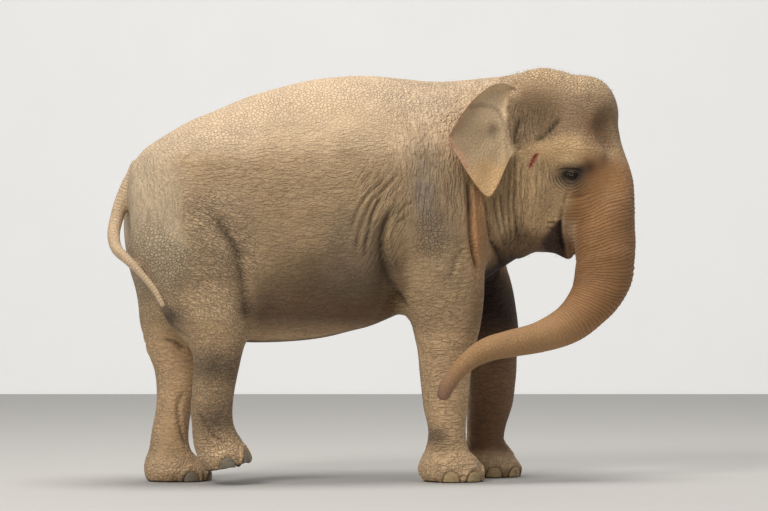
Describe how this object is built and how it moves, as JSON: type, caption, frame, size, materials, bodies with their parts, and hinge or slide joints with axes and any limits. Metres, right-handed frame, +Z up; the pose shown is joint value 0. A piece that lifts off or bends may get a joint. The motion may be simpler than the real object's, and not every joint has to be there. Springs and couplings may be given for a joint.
{
  "type": "asian elephant",
  "caption": "Still life-size Asian elephant cow in a walking pose, a hind foot raised, head turned and trunk swept back; a display model of the animal.",
  "frame": {"origin": "on the floor, under the middle of the whole animal's bounding box", "axes": "+X towards the head, +Y to the animal's left, +Z up"},
  "size_m": [3.1646, 1.2539, 2.4839],
  "materials": {
    "skin": "matt, deeply wrinkled, dusted with sand",
    "nails": "worn horn, half matt",
    "eyes": "wet, glossy"
  },
  "bodies": {
    "root": {"ear_left": "skin", "ear_right": "skin", "eye_left": "eyes", "eye_right": "eyes", "foot_fore_left": "skin", "foot_fore_right": "skin", "foot_hind_left": "skin", "foot_hind_right": "skin", "head": "skin", "jaw": "skin", "leg_fore_left_lower": "skin", "leg_fore_left_upper": "skin", "leg_fore_right_lower": "skin", "leg_fore_right_upper": "skin", "leg_hind_left_lower": "skin", "leg_hind_left_upper": "skin", "leg_hind_right_lower": "skin", "leg_hind_right_upper": "skin", "nail_fore_left_1": "nails", "nail_fore_left_2": "nails", "nail_fore_left_3": "nails", "nail_fore_left_4": "nails", "nail_fore_left_5": "nails", "nail_fore_right_1": "nails", "nail_fore_right_2": "nails", "nail_fore_right_3": "nails", "nail_fore_right_4": "nails", "nail_fore_right_5": "nails", "nail_hind_left_1": "nails", "nail_hind_left_2": "nails", "nail_hind_left_3": "nails", "nail_hind_left_4": "nails", "nail_hind_right_1": "nails", "nail_hind_right_2": "nails", "nail_hind_right_3": "nails", "nail_hind_right_4": "nails", "neck": "skin", "tail_lower": "skin", "tail_upper": "skin", "torso": "skin", "trunk_lower": "skin", "trunk_middle": "skin", "trunk_upper": "skin"}
  },
  "joints": []
}
